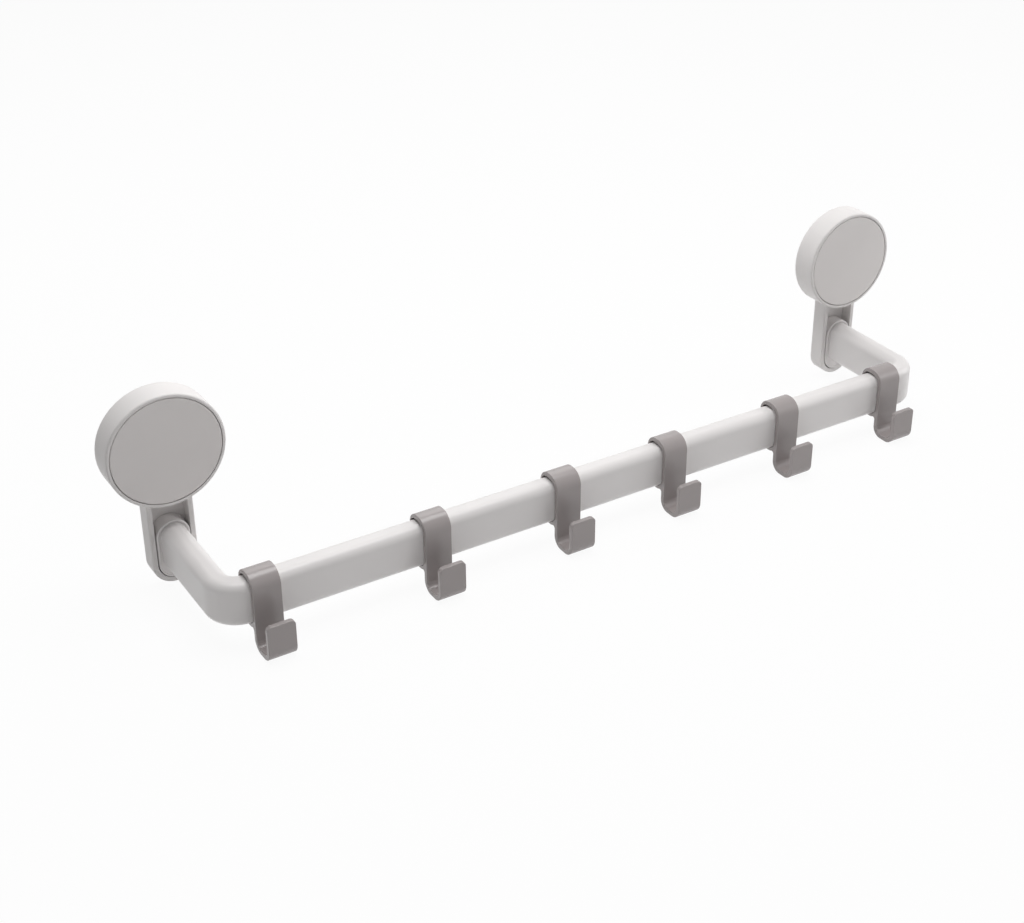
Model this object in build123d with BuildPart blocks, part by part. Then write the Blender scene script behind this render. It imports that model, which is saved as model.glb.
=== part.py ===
from build123d import *
import os

# Wall rail on two suction mounts, with six clip-on hooks that slide along it.
# Frame: the wall is the plane y = 0 and the rail stands out towards -Y. X runs along the rail,
# Z is up, and the origin lies on the wall halfway between the two suction mounts, at their axes.

# Suction mount: round drum
mount_spacing = 500.0
wall_gap = 1.0
drum_diameter = 70.0
drum_depth = 17.0
drum_wall = 2.0
drum_edge_radius = 1.1
cover_thickness = 2.4
cover_gap = 0.4
cover_edge_radius = 0.6
cover_collar_height = 3.0
cover_collar_wall = 1.6
ledge_thickness = 2.0
well_radius = 20.0
well_floor = 2.5
well_depth = 6.2
press_ring_radius = 27.0
press_ring_wall = 2.0
rib_count = 8
rib_wall = 1.6

# Suction mount: tab under the drum, an open channel that the rail's foot drops into
tab_width = 27.8
tab_depth = 11.0
tab_wall = 3.15
tab_round_below_rail = 11.1
tab_edge_radius = 1.0
channel_depth = 8.4
channel_floor = 1.2

# Suction pad and its draw gear
pad_rim_gap = 0.5
pad_rim_thickness = 1.6
pad_back = 3.2
pad_hollow = 1.2
pad_hollow_radius = 22.0
pad_hollow_half_share = 0.75
pad_boss_radius = 8.0
stud_diameter = 6.0
stud_head_radius = 10.0
stud_head_thickness = 1.4
stud_head_cover = 0.5
stud_end_chamfer = 0.75
embed_gap = 0.05
thread_gap = 0.1
washer_radius = 9.0
washer_thickness = 1.2
nut_radius = 11.0
nut_height = 4.0
nut_scallops = 10
nut_scallop_radius = 1.8
nut_top_gap = 0.6

# Rail
rail_standoff = 83.8
rail_drop = 64.3
rail_thickness = 14.4
rail_height = 27.6
rail_corner = 5.3
rail_wall = 1.6
seam_inset = 20.0
spigot_length = 20.0
spigot_gap = 0.1
spigot_chamfer = 1.0

# Elbow arm and its foot
elbow_radius = 13.0
arm_root_thickness = 15.0
arm_root_height = 29.0
arm_root_flat = 1.0
foot_gap = 0.65
foot_top_margin = 2.0
foot_back_gap = 0.2
foot_stand_proud = 0.8
foot_edge_radius = 0.5
foot_rim = 1.0
foot_sink = 0.7
foot_fillet = 0.3
neck_width = 8.0
neck_height = 10.0
head_width = 13.0
head_height = 11.0
head_thickness = 1.0
keyhole_gap = 0.25
hang_travel = 7.5

# Hooks
hook_1_left = 229.3
hook_2_left = 122.9
hook_3_left = 33.4
hook_4_right = 46.1
hook_5_right = 136.4
hook_6_right = 224.5
hook_width = 17.0
hook_wall = 3.1
clip_gap = 0.25
clip_top_gap = 1.2
clip_top_wall = 3.3
clip_back_wall = 1.2
clip_under_wall = 2.3
clip_lip_end_radius = 0.5
clip_return = 8.5
clip_lip_reach = 9.0
hook_mouth = 13.1
hook_tip_drop = 4.1
hook_bottom_drop = 28.4
hook_heel_radius = 7.0
hook_toe_radius = 7.5
hook_crook_radius = 1.5
hook_tip_corner = 3.0
hook_edge_radius = 0.4

# Depths along Y, all from the wall
drum_back_y = -wall_gap
drum_front_y = drum_back_y - drum_depth
cover_seat_y = drum_front_y + cover_thickness
ledge_back_y = cover_seat_y + ledge_thickness
well_front_y = cover_seat_y + well_depth
well_back_y = well_front_y + well_floor
tab_front_y = drum_back_y - tab_depth
channel_y = tab_front_y + channel_depth
floor_back_y = channel_y + channel_floor
rail_y = drum_back_y - rail_standoff
foot_back_y = channel_y - foot_back_gap
foot_front_y = tab_front_y - foot_stand_proud
foot_face_y = foot_front_y + foot_sink

# Radii of the drum
drum_radius = drum_diameter / 2
bore_radius = drum_radius - drum_wall
stud_radius = stud_diameter / 2
stud_hole_radius = stud_radius + thread_gap

# Heights along Z
rail_z = -rail_drop
tab_round_z = rail_z - tab_round_below_rail
tab_round_drop = -tab_round_z
channel_half = tab_width / 2 - tab_wall
foot_half = channel_half - foot_gap
foot_bottom_z = tab_round_z - foot_half
foot_top_z = rail_z + arm_root_height / 2 + foot_top_margin
foot_height = foot_top_z - foot_bottom_z
foot_middle_z = (foot_top_z + foot_bottom_z) / 2
head_middle_z = rail_z
window_middle_z = head_middle_z + hang_travel

arm_root_corner = (arm_root_thickness - arm_root_flat) / 2
arm_x = mount_spacing / 2
seam_x = arm_x - seam_inset
bend_y = rail_y + elbow_radius
bend_x = arm_x - elbow_radius

# Reach of a pick by position, for vertices and faces
pick = 0.01

os.makedirs("parts", exist_ok=True)


def keep(piece, name):
    piece.part.label = name
    export_step(piece.part, f"parts/{name}.step")


def facing_out(x, y, z):
    # Sketch plane parallel to the wall, seen from the room: its normal points along -Y
    return Plane(origin=(x, y, z), x_dir=(1, 0, 0), z_dir=(0, -1, 0))


def through_axis(x):
    # Sketch plane of a turned profile: across is the radius, up is the depth along Y
    return Plane(origin=(x, 0, 0), x_dir=(1, 0, 0), z_dir=(0, 0, 1))


def drum_axis(x):
    return Axis((x, 0, 0), (0, 1, 0))


# Housings: drum and tab in one moulding
for side, sign in (("left", -1), ("right", 1)):
    mount_x = sign * mount_spacing / 2
    with BuildPart() as housing:
        # Tab: a straight-sided tongue with a full round end
        with BuildSketch(facing_out(mount_x, drum_back_y, 0)):
            with Locations((0, tab_round_z)):
                Circle(tab_width / 2)
            with Locations((0, tab_round_z / 2)):
                Rectangle(tab_width, tab_round_drop)
        extrude(amount=tab_depth)
        fillet(housing.faces().sort_by(Axis.Y)[0].edges(), tab_edge_radius)
        # Channel in front, pocket behind, and the floor between them
        with BuildSketch(facing_out(mount_x, channel_y, 0)):
            with Locations((0, tab_round_z)):
                Circle(channel_half)
            with Locations((0, tab_round_z / 2)):
                Rectangle(2 * channel_half, tab_round_drop)
        extrude(amount=channel_depth, mode=Mode.SUBTRACT)
        with BuildSketch(facing_out(mount_x, drum_back_y, 0)):
            with Locations((0, tab_round_z)):
                Circle(channel_half)
            with Locations((0, tab_round_z / 2)):
                Rectangle(2 * channel_half, tab_round_drop)
        extrude(amount=drum_back_y - floor_back_y, mode=Mode.SUBTRACT)
        # Keyhole in the floor: a window that lets the foot's head in, and the slot it slides down
        with BuildSketch(facing_out(mount_x, floor_back_y, 0)):
            with Locations((0, window_middle_z)):
                Rectangle(head_width + 2 * keyhole_gap, head_height + 2 * keyhole_gap)
            slot_bottom_z = head_middle_z - neck_height / 2 - keyhole_gap
            with Locations((0, (slot_bottom_z + window_middle_z) / 2)):
                Rectangle(neck_width + 2 * keyhole_gap, window_middle_z - slot_bottom_z)
        extrude(amount=channel_floor, mode=Mode.SUBTRACT)
        # Drum: room for it is cleared out of the tab, then the turned shell goes in
        with BuildSketch(facing_out(mount_x, drum_back_y, 0)):
            Circle(drum_radius - drum_wall / 2)
        extrude(amount=drum_depth, mode=Mode.SUBTRACT)
        with BuildSketch(through_axis(mount_x)):
            with BuildLine():
                Polyline(
                    (drum_radius, drum_back_y),
                    (drum_radius, drum_front_y),
                    (bore_radius, drum_front_y),
                    (bore_radius, cover_seat_y),
                    (well_radius, cover_seat_y),
                    (well_radius, well_front_y),
                    (stud_hole_radius, well_front_y),
                    (stud_hole_radius, well_back_y),
                    (well_radius + drum_wall, well_back_y),
                    (well_radius + drum_wall, ledge_back_y),
                    (bore_radius, ledge_back_y),
                    (bore_radius, drum_back_y),
                    close=True,
                )
            make_face()
            front_corner = vertices().sort_by(Axis.Y)[0:2].sort_by(Axis.X)[-1]
            fillet(front_corner, drum_edge_radius)
        revolve(axis=drum_axis(mount_x))
        # Ring that presses on the pad, and the ribs that carry it
        with BuildSketch(facing_out(mount_x, -pad_back, 0)):
            Circle(press_ring_radius + press_ring_wall / 2)
            Circle(press_ring_radius - press_ring_wall / 2, mode=Mode.SUBTRACT)
        extrude(amount=-pad_back - ledge_back_y)
        with BuildSketch(facing_out(mount_x, well_back_y, 0)):
            rib_length = bore_radius - well_radius - drum_wall / 2
            with PolarLocations(bore_radius - rib_length / 2, rib_count):
                Rectangle(rib_length, rib_wall)
        extrude(amount=well_back_y - ledge_back_y)
    keep(housing, f"{side}_housing")

    # Cover disc: flush inlay with a collar that pushes into the well
    with BuildPart() as cover:
        with BuildSketch(through_axis(mount_x)):
            with BuildLine():
                collar_radius = well_radius - cover_gap
                Polyline(
                    (0, drum_front_y),
                    (bore_radius - cover_gap, drum_front_y),
                    (bore_radius - cover_gap, cover_seat_y),
                    (collar_radius, cover_seat_y),
                    (collar_radius, cover_seat_y + cover_collar_height),
                    (collar_radius - cover_collar_wall, cover_seat_y + cover_collar_height),
                    (collar_radius - cover_collar_wall, cover_seat_y),
                    (0, cover_seat_y),
                    close=True,
                )
            make_face()
            front_corner = vertices().sort_by(Axis.Y)[0:2].sort_by(Axis.X)[-1]
            fillet(front_corner, cover_edge_radius)
        revolve(axis=drum_axis(mount_x))
    keep(cover, f"{side}_cover_disc")

    # Draw gear, stacked from the pad outwards
    head_wall_y = -pad_hollow - stud_head_cover
    head_room_y = head_wall_y - stud_head_thickness
    washer_front_y = well_front_y - washer_thickness
    stud_end_y = cover_seat_y + nut_top_gap
    pad_radius = bore_radius - pad_rim_gap

    # Suction pad: soft disc, hollowed towards the wall, moulded round the stud's head
    with BuildPart() as pad:
        with BuildSketch(through_axis(mount_x)):
            with BuildLine():
                Polyline(
                    (pad_radius, 0),
                    (pad_radius, -pad_rim_thickness),
                    (press_ring_radius + press_ring_wall, -pad_back),
                    (pad_boss_radius + pad_back, -pad_back),
                    (pad_boss_radius, well_back_y + embed_gap),
                    (0, well_back_y + embed_gap),
                    (0, -pad_hollow),
                )
                ThreePointArc(
                    (0, -pad_hollow),
                    (pad_hollow_radius / 2, -pad_hollow * pad_hollow_half_share),
                    (pad_hollow_radius, 0),
                )
                Line((pad_hollow_radius, 0), (pad_radius, 0))
            make_face()
        revolve(axis=drum_axis(mount_x))
        with BuildSketch(through_axis(mount_x)):
            with BuildLine():
                Polyline(
                    (0, head_wall_y + embed_gap),
                    (stud_head_radius + embed_gap, head_wall_y + embed_gap),
                    (stud_head_radius + embed_gap, head_room_y - embed_gap),
                    (stud_radius + embed_gap, head_room_y - embed_gap),
                    (stud_radius + embed_gap, well_back_y),
                    (0, well_back_y),
                    close=True,
                )
            make_face()
        revolve(axis=drum_axis(mount_x), mode=Mode.SUBTRACT)
    keep(pad, f"{side}_suction_pad")

    with BuildPart() as stud:
        with BuildSketch(through_axis(mount_x)):
            with BuildLine():
                Polyline(
                    (0, head_wall_y),
                    (stud_head_radius, head_wall_y),
                    (stud_head_radius, head_room_y),
                    (stud_radius, head_room_y),
                    (stud_radius, stud_end_y),
                    (0, stud_end_y),
                    close=True,
                )
            make_face()
            end_corner = vertices().sort_by(Axis.Y)[0:2].sort_by(Axis.X)[-1]
            chamfer(end_corner, stud_end_chamfer)
        revolve(axis=drum_axis(mount_x))
    keep(stud, f"{side}_pad_stud")

    with BuildPart() as washer:
        with BuildSketch(facing_out(mount_x, well_front_y, 0)):
            Circle(washer_radius)
            Circle(stud_hole_radius, mode=Mode.SUBTRACT)
        extrude(amount=washer_thickness)
    keep(washer, f"{side}_washer")

    with BuildPart() as nut:
        with BuildSketch(facing_out(mount_x, washer_front_y, 0)):
            Circle(nut_radius)
            with PolarLocations(nut_radius, nut_scallops):
                Circle(nut_scallop_radius, mode=Mode.SUBTRACT)
            Circle(stud_hole_radius, mode=Mode.SUBTRACT)
        extrude(amount=nut_height)
    keep(nut, f"{side}_draw_nut")

# Rail tube between the two seams
with BuildPart() as rail_tube:
    with BuildSketch(Plane(origin=(-seam_x, rail_y, rail_z), x_dir=(0, 1, 0), z_dir=(1, 0, 0))):
        RectangleRounded(rail_thickness, rail_height, rail_corner)
        RectangleRounded(
            rail_thickness - 2 * rail_wall,
            rail_height - 2 * rail_wall,
            rail_corner - rail_wall,
            mode=Mode.SUBTRACT,
        )
    extrude(amount=2 * seam_x)
keep(rail_tube, "rail_tube")

# Elbow arms: foot, tapered arm, bend and spigot in one moulding
for side, sign in (("left", -1), ("right", 1)):
    mount_x = sign * arm_x
    with BuildPart() as elbow:
        # Foot: obround flange that sits in the channel
        with BuildSketch(facing_out(mount_x, foot_back_y, foot_middle_z)):
            SlotOverall(foot_height, 2 * foot_half, rotation=90)
        extrude(amount=foot_back_y - foot_front_y)
        fillet(elbow.faces().sort_by(Axis.Y)[0].edges(), foot_edge_radius)
        # Its face lies a little back inside a raised rim
        with BuildSketch(facing_out(mount_x, foot_front_y, foot_middle_z)):
            SlotOverall(foot_height - 2 * foot_rim, 2 * (foot_half - foot_rim), rotation=90)
        extrude(amount=-foot_sink, mode=Mode.SUBTRACT)
        # Arm, tapering from the foot to the bend
        with BuildSketch(facing_out(mount_x, foot_face_y, rail_z)):
            RectangleRounded(arm_root_thickness, arm_root_height, arm_root_corner)
        with BuildSketch(facing_out(mount_x, bend_y, rail_z)):
            RectangleRounded(rail_thickness, rail_height, rail_corner)
        loft()
        root_edges = edges(Select.LAST).group_by(Axis.Y)[-1]
        fillet(root_edges, foot_fillet)
        # Bend, turned about an upright axis on the inner side
        with BuildSketch(facing_out(mount_x, bend_y, rail_z)):
            RectangleRounded(rail_thickness, rail_height, rail_corner)
        bend_axis = Axis((sign * bend_x, bend_y, rail_z), (0, 0, -sign))
        revolve(axis=bend_axis, revolution_arc=90)
        # Straight run to the seam, then the spigot inside the tube
        towards_middle = Plane(
            origin=(sign * bend_x, rail_y, rail_z), x_dir=(0, 1, 0), z_dir=(-sign, 0, 0)
        )
        with BuildSketch(towards_middle):
            RectangleRounded(rail_thickness, rail_height, rail_corner)
        extrude(amount=bend_x - seam_x)
        with BuildSketch(towards_middle.offset(bend_x - seam_x)):
            spigot_inset = rail_wall + spigot_gap
            RectangleRounded(
                rail_thickness - 2 * spigot_inset,
                rail_height - 2 * spigot_inset,
                rail_corner - spigot_inset,
            )
        extrude(amount=spigot_length)
        spigot_end = elbow.faces().sort_by(Axis.X)[0 if sign > 0 else -1]
        chamfer(spigot_end.edges(), spigot_chamfer)
        # Headed tongue behind the foot, which hangs in the keyhole
        with BuildSketch(facing_out(mount_x, floor_back_y + foot_back_gap, head_middle_z)):
            Rectangle(neck_width, neck_height)
        extrude(amount=floor_back_y + foot_back_gap - foot_back_y)
        with BuildSketch(
            facing_out(mount_x, floor_back_y + foot_back_gap + head_thickness, head_middle_z)
        ):
            Rectangle(head_width, head_height)
        extrude(amount=head_thickness)
    keep(elbow, f"{side}_elbow_arm")

# Hooks: clip over the rail and hook below it, one moulding of even width
inner_thickness = rail_thickness + 2 * clip_gap
inner_top = rail_height / 2 + clip_top_gap
inner_bottom = -rail_height / 2 - clip_gap
inner_height = inner_top - inner_bottom
inner_middle = (inner_top + inner_bottom) / 2
inner_corner = rail_corner + clip_gap
strap_back = -inner_thickness / 2
strap_front = strap_back - hook_wall
tip_back = strap_front - hook_mouth
tip_front = tip_back - hook_wall
clip_back = inner_thickness / 2 + clip_back_wall
clip_top = inner_top + clip_top_wall
clip_under = inner_bottom - clip_under_wall
hook_bottom = -hook_bottom_drop
hook_floor = hook_bottom + hook_wall
tip_top = -hook_tip_drop
lip_end = strap_back + clip_lip_reach
hook_places = (-hook_1_left, -hook_2_left, -hook_3_left, hook_4_right, hook_5_right, hook_6_right)

for number, hook_x in enumerate(hook_places, start=1):
    with BuildPart() as hook:
        side_plane = Plane(
            origin=(hook_x - hook_width / 2, rail_y, rail_z), x_dir=(0, 1, 0), z_dir=(1, 0, 0)
        )
        with BuildSketch(side_plane):
            # Clip: a band round the rail, open behind and below, thick on top and thin behind
            with Locations(((clip_back + strap_front) / 2, (clip_top + clip_under) / 2)):
                RectangleRounded(clip_back - strap_front, clip_top - clip_under, inner_corner + hook_wall)
            # Hook: a trough in front, with a rounded heel and toe
            with BuildLine():
                outside = FilletPolyline(
                    (strap_back, 0),
                    (strap_back, hook_bottom),
                    (tip_front, hook_bottom),
                    (tip_front, tip_top),
                    radius=[hook_heel_radius, hook_toe_radius],
                )
                inside = FilletPolyline(
                    (strap_front, 0),
                    (strap_front, hook_floor),
                    (tip_back, hook_floor),
                    (tip_back, tip_top),
                    radius=[hook_heel_radius - hook_wall, hook_toe_radius - hook_wall],
                )
                Line(outside @ 0, inside @ 0)
                Line(outside @ 1, inside @ 1)
            make_face()
            with Locations((0, inner_middle)):
                RectangleRounded(inner_thickness, inner_height, inner_corner, mode=Mode.SUBTRACT)
            open_low = hook_bottom
            open_high = inner_top - clip_return
            open_far = inner_thickness
            with Locations(((lip_end + open_far) / 2, (open_low + open_high) / 2)):
                Rectangle(open_far - lip_end, open_high - open_low, mode=Mode.SUBTRACT)
            # Rounded lip ends, and a crook where the lower lip leaves the trough
            lower_lip = vertices().filter_by_position(Axis.X, lip_end - pick, lip_end + pick)
            upper_lip = vertices().filter_by_position(Axis.Y, open_high - pick, open_high + pick)
            fillet(lower_lip + upper_lip, clip_lip_end_radius)
            trough_back = vertices().filter_by_position(Axis.X, strap_back - pick, strap_back + pick)
            heel_top = hook_bottom + hook_heel_radius
            lip_root = inner_bottom + inner_corner
            crook = trough_back.filter_by_position(Axis.Y, heel_top + pick, lip_root - pick)
            fillet(crook, hook_crook_radius)
        extrude(amount=hook_width)
        # Upper corners of the tip, then soft edges all round both sides and the tip
        tip_z = rail_z + tip_top
        flat_faces = hook.faces().filter_by(Axis.Z)
        tip_face = flat_faces.filter_by_position(Axis.Z, tip_z - pick, tip_z + pick)[0]
        fillet(tip_face.edges().filter_by(Axis.Y), hook_tip_corner)
        corner_arcs = edges(Select.LAST).filter_by(GeomType.CIRCLE)
        flat_faces = hook.faces().filter_by(Axis.Z)
        tip_face = flat_faces.filter_by_position(Axis.Z, tip_z - pick, tip_z + pick)[0]
        tip_edges = tip_face.edges().filter_by(Axis.X)
        hook_sides = hook.faces().sort_by(Axis.X)
        side_edges = hook_sides[0].edges() + hook_sides[-1].edges()
        fillet(side_edges + tip_edges + corner_arcs, hook_edge_radius)
    keep(hook, f"hook_{number}")
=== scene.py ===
import math

import bpy
from mathutils import Matrix, Vector


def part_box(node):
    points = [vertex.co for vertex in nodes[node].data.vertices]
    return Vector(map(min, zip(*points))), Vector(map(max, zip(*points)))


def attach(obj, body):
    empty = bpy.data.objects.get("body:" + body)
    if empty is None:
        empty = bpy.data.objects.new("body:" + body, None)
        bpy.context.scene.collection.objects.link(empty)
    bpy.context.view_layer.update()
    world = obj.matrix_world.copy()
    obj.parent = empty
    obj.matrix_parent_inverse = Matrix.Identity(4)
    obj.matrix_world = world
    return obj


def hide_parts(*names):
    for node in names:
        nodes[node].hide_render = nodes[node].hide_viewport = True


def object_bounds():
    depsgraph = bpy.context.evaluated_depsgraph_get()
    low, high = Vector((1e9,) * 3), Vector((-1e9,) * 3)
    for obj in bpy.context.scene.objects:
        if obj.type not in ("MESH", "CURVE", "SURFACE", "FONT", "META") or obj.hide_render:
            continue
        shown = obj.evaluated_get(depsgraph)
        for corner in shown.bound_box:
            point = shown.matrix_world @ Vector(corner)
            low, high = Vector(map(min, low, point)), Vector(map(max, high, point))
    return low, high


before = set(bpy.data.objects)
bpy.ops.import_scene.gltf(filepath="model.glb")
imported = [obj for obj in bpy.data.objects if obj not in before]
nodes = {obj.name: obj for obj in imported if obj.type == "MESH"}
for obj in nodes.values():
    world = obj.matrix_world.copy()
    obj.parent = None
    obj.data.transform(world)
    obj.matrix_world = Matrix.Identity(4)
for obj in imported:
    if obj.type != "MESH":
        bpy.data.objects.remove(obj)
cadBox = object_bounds()
sides = ("left", "right")
hooks = sorted(name for name in nodes if name.startswith("hook_"))
perMetre = 1000  # mm
print("frame loaded:", len(nodes), "nodes,", len(hooks), "hooks")


# finishes: drift and grain are noise scales, grainDepth is in mm

mountFinish = dict(name="mountWhite", colour=(0.790, 0.766, 0.757), shade=0.95, drift=16.0,
                   roughness=0.50, roughSwing=0.06, grain=2600.0, grainDepth=0.012, specular=0.30)
railFinish = dict(name="railWhite", colour=(0.800, 0.775, 0.768), shade=0.96, drift=14.0,
                  roughness=0.35, roughSwing=0.02, grain=3000.0, grainDepth=0.004, specular=0.50)
coverFinish = dict(name="coverPale", colour=(0.770, 0.738, 0.727), shade=0.97, drift=20.0,
                   roughness=0.55, roughSwing=0.06, grain=2200.0, grainDepth=0.014, specular=0.35)
hookFinish = dict(name="hookGreige", colour=(0.352, 0.318, 0.314), shade=0.97, drift=24.0,
                  roughness=0.26, roughSwing=0.03, grain=2600.0, grainDepth=0.004, specular=0.60)
padFinish = dict(name="padSoft", colour=(0.66, 0.68, 0.67), shade=0.93, drift=30.0,
                 roughness=0.24, roughSwing=0.06, grain=1400.0, grainDepth=0.003, specular=0.5)
nutFinish = dict(name="nutPlastic", colour=(0.66, 0.65, 0.63), shade=0.93, drift=60.0,
                 roughness=0.50, roughSwing=0.08, grain=2400.0, grainDepth=0.012, specular=0.4)
steelFinish = dict(name="plainSteel", colour=(0.56, 0.56, 0.57), shade=0.85, drift=80.0,
                   roughness=0.34, roughSwing=0.14, grain=1800.0, grainDepth=0.006, specular=0.5)
# the same in every finish: noise detail, where the tint starts and ends, strength of the bump
anyFinish = dict(driftDetail=3.0, tintStart=0.30, tintEnd=0.62, grainDetail=2.0, bump=0.5)


def surfaceFinish(finish, metal=0.0):
    material = bpy.data.materials.new(finish["name"])
    material.use_nodes = True
    tree = material.node_tree
    shader = tree.nodes["Principled BSDF"]
    shader.inputs["Specular IOR Level"].default_value = finish["specular"]
    shader.inputs["Metallic"].default_value = metal
    where = tree.nodes.new("ShaderNodeTexCoord")
    # slow drift of the colour, as in any batch
    drift = tree.nodes.new("ShaderNodeTexNoise")
    drift.inputs["Scale"].default_value = finish["drift"]
    drift.inputs["Detail"].default_value = anyFinish["driftDetail"]
    tree.links.new(where.outputs["Object"], drift.inputs["Vector"])
    tint = tree.nodes.new("ShaderNodeValToRGB")
    darker, full = tint.color_ramp.elements
    darker.position = anyFinish["tintStart"]
    darker.color = [c * finish["shade"] for c in finish["colour"]] + [1]
    full.position = anyFinish["tintEnd"]
    full.color = list(finish["colour"]) + [1]
    tree.links.new(drift.outputs["Fac"], tint.inputs["Fac"])
    tree.links.new(tint.outputs["Color"], shader.inputs["Base Color"])
    # uneven gloss
    gloss = tree.nodes.new("ShaderNodeMapRange")
    gloss.inputs["To Min"].default_value = finish["roughness"] - finish["roughSwing"]
    gloss.inputs["To Max"].default_value = finish["roughness"] + finish["roughSwing"]
    tree.links.new(drift.outputs["Fac"], gloss.inputs["Value"])
    tree.links.new(gloss.outputs["Result"], shader.inputs["Roughness"])
    # fine grain, left by the mould or the drawing die
    grain = tree.nodes.new("ShaderNodeTexNoise")
    grain.inputs["Scale"].default_value = finish["grain"]
    grain.inputs["Detail"].default_value = anyFinish["grainDetail"]
    tree.links.new(where.outputs["Object"], grain.inputs["Vector"])
    bump = tree.nodes.new("ShaderNodeBump")
    bump.inputs["Strength"].default_value = anyFinish["bump"]
    bump.inputs["Distance"].default_value = finish["grainDepth"] / perMetre
    tree.links.new(grain.outputs["Fac"], bump.inputs["Height"])
    tree.links.new(bump.outputs["Normal"], shader.inputs["Normal"])
    return material


def dress(nodeName, material):
    mesh = nodes[nodeName].data
    mesh.materials.clear()
    mesh.materials.append(material)


mountWhite = surfaceFinish(mountFinish)
railWhite = surfaceFinish(railFinish)
coverPale = surfaceFinish(coverFinish)
hookGreige = surfaceFinish(hookFinish)
padSoft = surfaceFinish(padFinish)
nutPlastic = surfaceFinish(nutFinish)
plainSteel = surfaceFinish(steelFinish, metal=1.0)

for side in sides:
    dress(f"{side}_housing", mountWhite)
    dress(f"{side}_cover_disc", coverPale)
    dress(f"{side}_suction_pad", padSoft)  # hidden: the soft pad below stands for it
    dress(f"{side}_pad_stud", plainSteel)
    dress(f"{side}_washer", plainSteel)
    dress(f"{side}_draw_nut", nutPlastic)
    dress(f"{side}_elbow_arm", railWhite)
dress("rail_tube", railWhite)
for hookName in hooks:
    dress(hookName, hookGreige)
print("finishes on", len(nodes), "nodes")


# suction pads: one soft moulding each, spun from half a section

padShape = dict(
    steps=128,
    seed=0.001,      # m, the plane that shrinks to the section's first point
    weld=0.000005,   # m
    softenLevel=1,
    # radius and depth from the wall, mm
    hollow=[(0.0, -1.20), (1.6, -1.20), (2.2, -1.45), (2.8, -1.20), (6.0, -1.14), (10.0, -0.99),
            (14.0, -0.74), (18.0, -0.38), (20.6, -0.12), (22.0, -0.02), (22.6, 0.0)],
    # one sealing groove, measured from its middle, and the grooves' radii
    groove=[(-0.9, 0.0), (-0.6, -0.15), (-0.2, -0.70), (0.2, -0.70), (0.6, -0.15), (0.9, 0.0)],
    grooves=(24.1, 26.9, 29.7),
    rim=[(31.6, 0.0), (32.2, -0.08), (32.5, -0.40), (32.5, -0.95), (32.3, -1.45), (31.6, -1.75),
         (30.0, -2.55), (29.0, -3.05), (28.2, -3.18)],
    # the back rises to the neck round the stud, then goes down the stud's seat
    back=[(20.0, -3.18), (12.0, -3.18), (10.8, -3.40), (9.4, -4.60), (8.3, -6.35), (7.6, -6.80),
          (4.2, -6.82), (3.10, -6.82), (3.08, -6.0), (3.08, -3.30), (0.0, -3.30)],
)
padSection = list(padShape["hollow"])
for radius in padShape["grooves"]:
    padSection += [(radius + out, depth) for out, depth in padShape["groove"]]
padSection += padShape["rim"] + padShape["back"]


def softPad(side):
    lowest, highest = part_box(f"{side}_suction_pad")
    middle = Vector(((lowest[0] + highest[0]) / 2, 0.0, (lowest[2] + highest[2]) / 2))
    points = [middle + Vector((radius, depth, 0.0)) / perMetre for radius, depth in padSection]
    bpy.ops.object.select_all(action="DESELECT")
    bpy.ops.mesh.primitive_plane_add(size=padShape["seed"], location=points[0])
    pad = bpy.context.object
    pad.name = f"{side}SoftPad"
    bpy.ops.object.transform_apply(location=True, rotation=True, scale=True)
    bpy.ops.object.mode_set(mode="EDIT")
    bpy.ops.mesh.select_all(action="SELECT")
    bpy.ops.mesh.merge(type="CENTER")
    for here, there in zip(points, points[1:]):
        bpy.ops.mesh.extrude_region_move(TRANSFORM_OT_translate={"value": there - here})
    bpy.ops.mesh.select_all(action="SELECT")
    bpy.ops.mesh.spin(steps=padShape["steps"], angle=2 * math.pi, center=middle, axis=(0, 1, 0))
    bpy.ops.mesh.select_all(action="SELECT")
    bpy.ops.mesh.remove_doubles(threshold=padShape["weld"])
    bpy.ops.mesh.normals_make_consistent(inside=False)
    bpy.ops.object.mode_set(mode="OBJECT")
    bpy.ops.object.shade_smooth()
    soften = pad.modifiers.new("soften", "SUBSURF")
    soften.levels = soften.render_levels = padShape["softenLevel"]
    bpy.ops.object.modifier_apply(modifier="soften")
    pad.data.materials.append(padSoft)
    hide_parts(f"{side}_suction_pad")
    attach(pad, "frame")
    return pad


for side in sides:
    pad = softPad(side)
    print("soft pad", pad.name, len(pad.data.polygons), "faces")


# floor and air: white to the camera, plain pale paper to the light

# white is the share of glow that the camera sees on the floor, and the rest keeps the shadow
floorLook = dict(size=12.0, drop=0.0004, colour=(0.86, 0.86, 0.86), roughness=0.9, specular=0.1,
                 glow=1.0, white=0.94)
airLook = dict(colour=(1.0, 1.0, 1.0), strength=0.20, backdrop=0.95)


def seenRays(tree):
    # 1 where the camera looks, straight on or by way of a glossy or clear surface
    path = tree.nodes.new("ShaderNodeLightPath")
    indirect = tree.nodes.new("ShaderNodeMath")
    indirect.operation = "MAXIMUM"
    tree.links.new(path.outputs["Is Glossy Ray"], indirect.inputs[0])
    tree.links.new(path.outputs["Is Transmission Ray"], indirect.inputs[1])
    seen = tree.nodes.new("ShaderNodeMath")
    seen.operation = "MAXIMUM"
    tree.links.new(path.outputs["Is Camera Ray"], seen.inputs[0])
    tree.links.new(indirect.outputs["Value"], seen.inputs[1])
    return seen.outputs["Value"]


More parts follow.
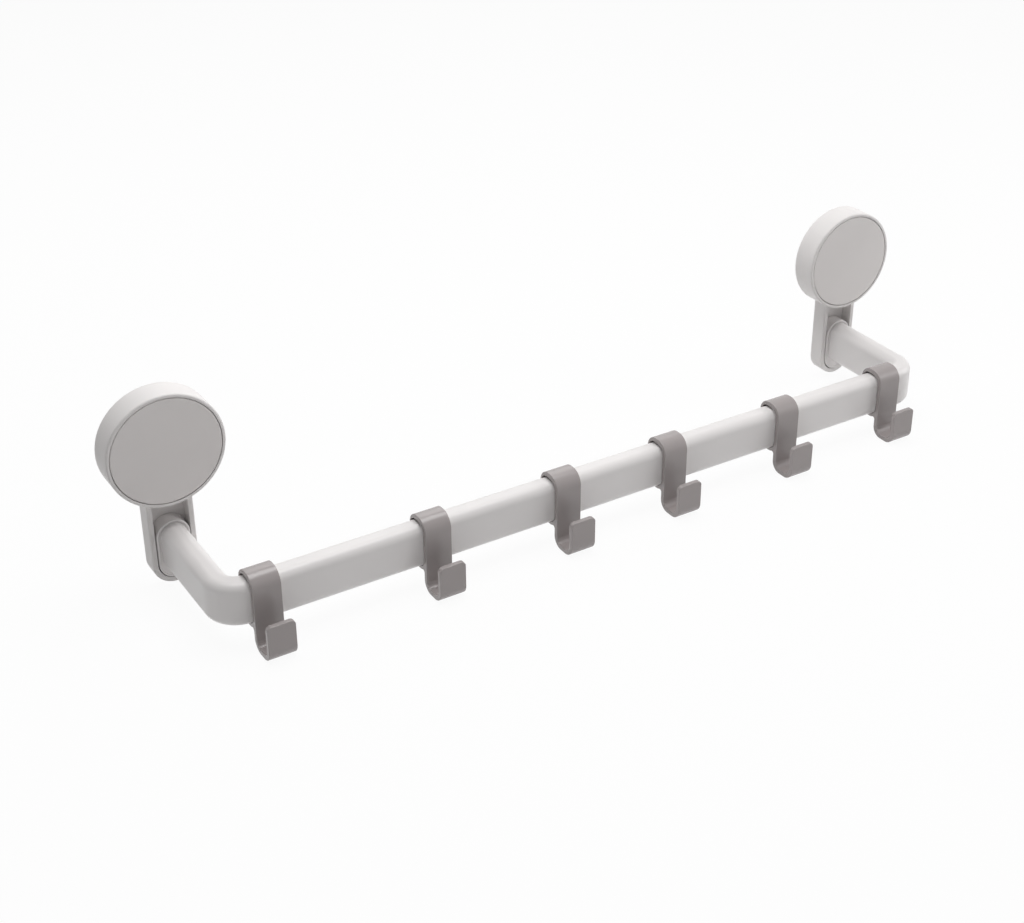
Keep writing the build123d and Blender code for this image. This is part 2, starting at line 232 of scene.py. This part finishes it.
def paperFloor():
    material = bpy.data.materials.new("paperFloor")
    material.use_nodes = True
    tree = material.node_tree
    paper = tree.nodes["Principled BSDF"]
    paper.inputs["Base Color"].default_value = (*floorLook["colour"], 1)
    paper.inputs["Roughness"].default_value = floorLook["roughness"]
    paper.inputs["Specular IOR Level"].default_value = floorLook["specular"]
    glow = tree.nodes.new("ShaderNodeEmission")
    glow.inputs["Color"].default_value = (1, 1, 1, 1)
    glow.inputs["Strength"].default_value = floorLook["glow"]
    share = tree.nodes.new("ShaderNodeMath")
    share.operation = "MULTIPLY"
    share.inputs[1].default_value = floorLook["white"]
    tree.links.new(seenRays(tree), share.inputs[0])
    blend = tree.nodes.new("ShaderNodeMixShader")
    tree.links.new(share.outputs["Value"], blend.inputs["Fac"])
    tree.links.new(paper.outputs["BSDF"], blend.inputs[1])
    tree.links.new(glow.outputs["Emission"], blend.inputs[2])
    tree.links.new(blend.outputs["Shader"], tree.nodes["Material Output"].inputs["Surface"])
    return material


def studioAir():
    world = bpy.data.worlds.new("studioAir")
    world.use_nodes = True
    tree = world.node_tree
    air = tree.nodes["Background"]
    air.inputs["Color"].default_value = (*airLook["colour"], 1)
    air.inputs["Strength"].default_value = airLook["strength"]
    backdrop = tree.nodes.new("ShaderNodeBackground")  # what the camera and the gloss see
    backdrop.inputs["Color"].default_value = (1, 1, 1, 1)
    backdrop.inputs["Strength"].default_value = airLook["backdrop"]
    blend = tree.nodes.new("ShaderNodeMixShader")
    tree.links.new(seenRays(tree), blend.inputs["Fac"])
    tree.links.new(air.outputs["Background"], blend.inputs[1])
    tree.links.new(backdrop.outputs["Background"], blend.inputs[2])
    tree.links.new(blend.outputs["Shader"], tree.nodes["World Output"].inputs["Surface"])
    return world


bpy.ops.object.select_all(action="DESELECT")
floorZ = cadBox[0][2] - floorLook["drop"]
bpy.ops.mesh.primitive_plane_add(size=floorLook["size"], location=(0, 0, floorZ))
floor = bpy.context.object
floor.name = "studioFloor"
floor.data.materials.append(paperFloor())
bpy.context.scene.world = studioAir()
print("floor laid at", round(floorZ, 4), "m")


# lamps: soft boxes turned to the middle of the rail

lampAim = (0.0, -0.05, -0.05)
lamps = dict(
    topBox=dict(size=(0.9, 0.6), place=(0.0, 0.0, 1.0), power=8.2),
    backBox=dict(size=(1.4, 0.6), place=(0.1, 0.9, 0.8), power=3.6),
    rightBox=dict(size=(0.8, 0.8), place=(1.3, -0.5, 0.45), power=6.6),
)
for lampName, lamp in lamps.items():
    light = bpy.data.lights.new(lampName, "AREA")
    light.shape = "RECTANGLE"
    light.size, light.size_y = lamp["size"]
    light.energy = lamp["power"]
    holder = bpy.data.objects.new(lampName, light)
    bpy.context.scene.collection.objects.link(holder)
    holder.location = lamp["place"]
    toward = Vector(lampAim) - Vector(lamp["place"])
    holder.rotation_euler = toward.to_track_quat("-Z", "Y").to_euler()
print("lamps placed:", ", ".join(lamps))


# camera: place and near in m, angles in radians, focus and middle in pixels of the image, sensor in mm

cameraLook = dict(place=(-0.5240, -0.8411, 0.4859), turn=0.603, dip=0.494, roll=-0.021, near=0.01,
                  focus=1736.87, middle=(602.57, 402.09), image=(1024, 923), sensor=36.0)
turn, dip, roll = cameraLook["turn"], cameraLook["dip"], cameraLook["roll"]
ahead = Vector((math.sin(turn) * math.cos(dip), math.cos(turn) * math.cos(dip), -math.sin(dip)))
across = Vector((math.cos(turn), -math.sin(turn), 0.0))
down = ahead.cross(across)
acrossRolled = across * math.cos(roll) + down * math.sin(roll)
downRolled = down * math.cos(roll) - across * math.sin(roll)
lens = bpy.data.cameras.new("photoCamera")
lens.sensor_fit = "HORIZONTAL"
lens.sensor_width = cameraLook["sensor"]
imageWidth, imageHeight = cameraLook["image"]
lens.lens = cameraLook["focus"] * cameraLook["sensor"] / imageWidth
lens.shift_x = (imageWidth / 2 - cameraLook["middle"][0]) / imageWidth
lens.shift_y = (cameraLook["middle"][1] - imageHeight / 2) / imageWidth
lens.clip_start = cameraLook["near"]
camera = bpy.data.objects.new("photoCamera", lens)
bpy.context.scene.collection.objects.link(camera)
facing = Matrix((acrossRolled, -downRolled, -ahead)).transposed().to_4x4()
facing.translation = Vector(cameraLook["place"])
camera.matrix_world = facing
bpy.context.scene.camera = camera
bpy.context.scene.view_settings.view_transform = "Standard"
print("camera set, lens", round(lens.lens, 2), "mm")
